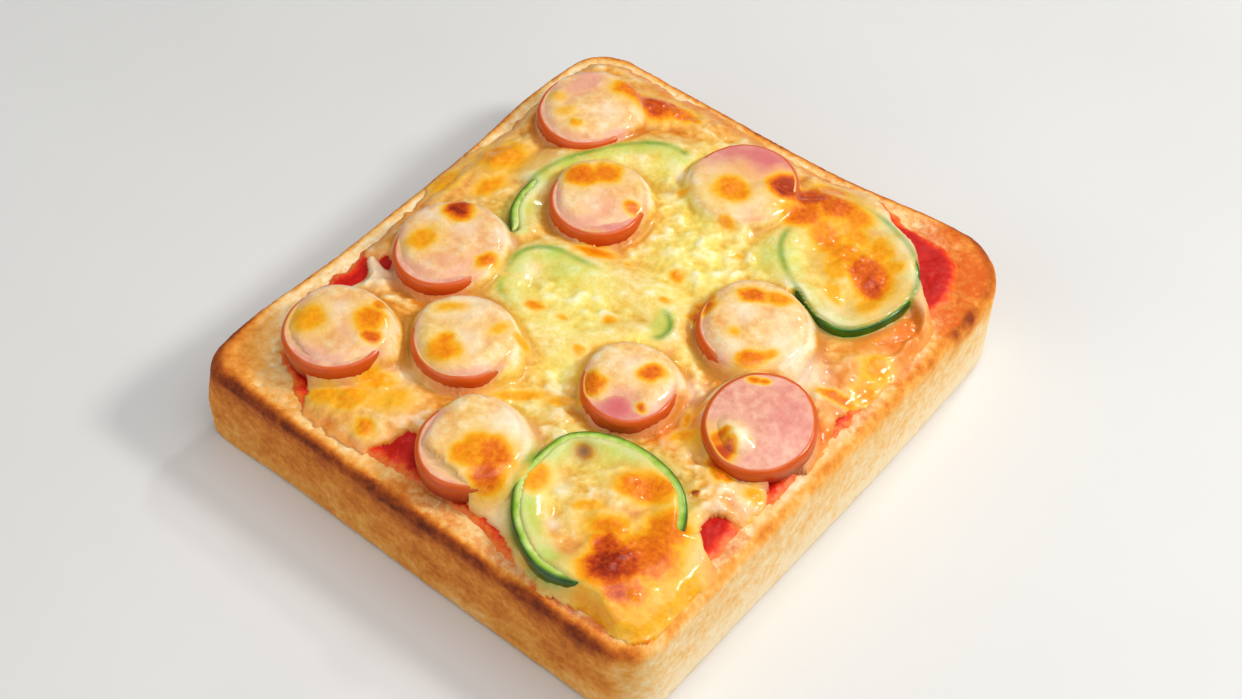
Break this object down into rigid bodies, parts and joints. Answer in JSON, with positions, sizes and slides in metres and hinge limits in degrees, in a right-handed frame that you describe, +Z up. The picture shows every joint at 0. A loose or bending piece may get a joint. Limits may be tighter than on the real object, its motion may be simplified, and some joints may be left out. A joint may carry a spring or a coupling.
{
  "type": "pizza toast",
  "caption": "Thick slice of square white toast with ketchup, sausage rounds, green pepper rings and melted browned cheese.",
  "frame": {"origin": "centre of the slice's outline, on the surface it lies on", "axes": "+Z up out of the topping, +Y along the slice's longer side, +X across it"},
  "size_m": [0.1224, 0.1373, 0.0342],
  "materials": {
    "toasted_bread": "matte baked crust, golden brown, with pale crumb",
    "ketchup": "wet, glossy",
    "melted_cheese": "oily satin, browned in spots",
    "sausage": "moist satin",
    "green_pepper": "waxy skin, moist flesh"
  },
  "bodies": {
    "root": {"bread": "toasted_bread", "ketchup": "ketchup", "cheese": "melted_cheese", "sausage_1": "sausage", "sausage_2": "sausage", "sausage_3": "sausage", "sausage_4": "sausage", "sausage_5": "sausage", "sausage_6": "sausage", "sausage_7": "sausage", "sausage_8": "sausage", "sausage_9": "sausage", "sausage_10": "sausage", "pepper_front": "green_pepper", "pepper_right": "green_pepper", "pepper_centre": "green_pepper", "pepper_back": "green_pepper"}
  },
  "joints": []
}
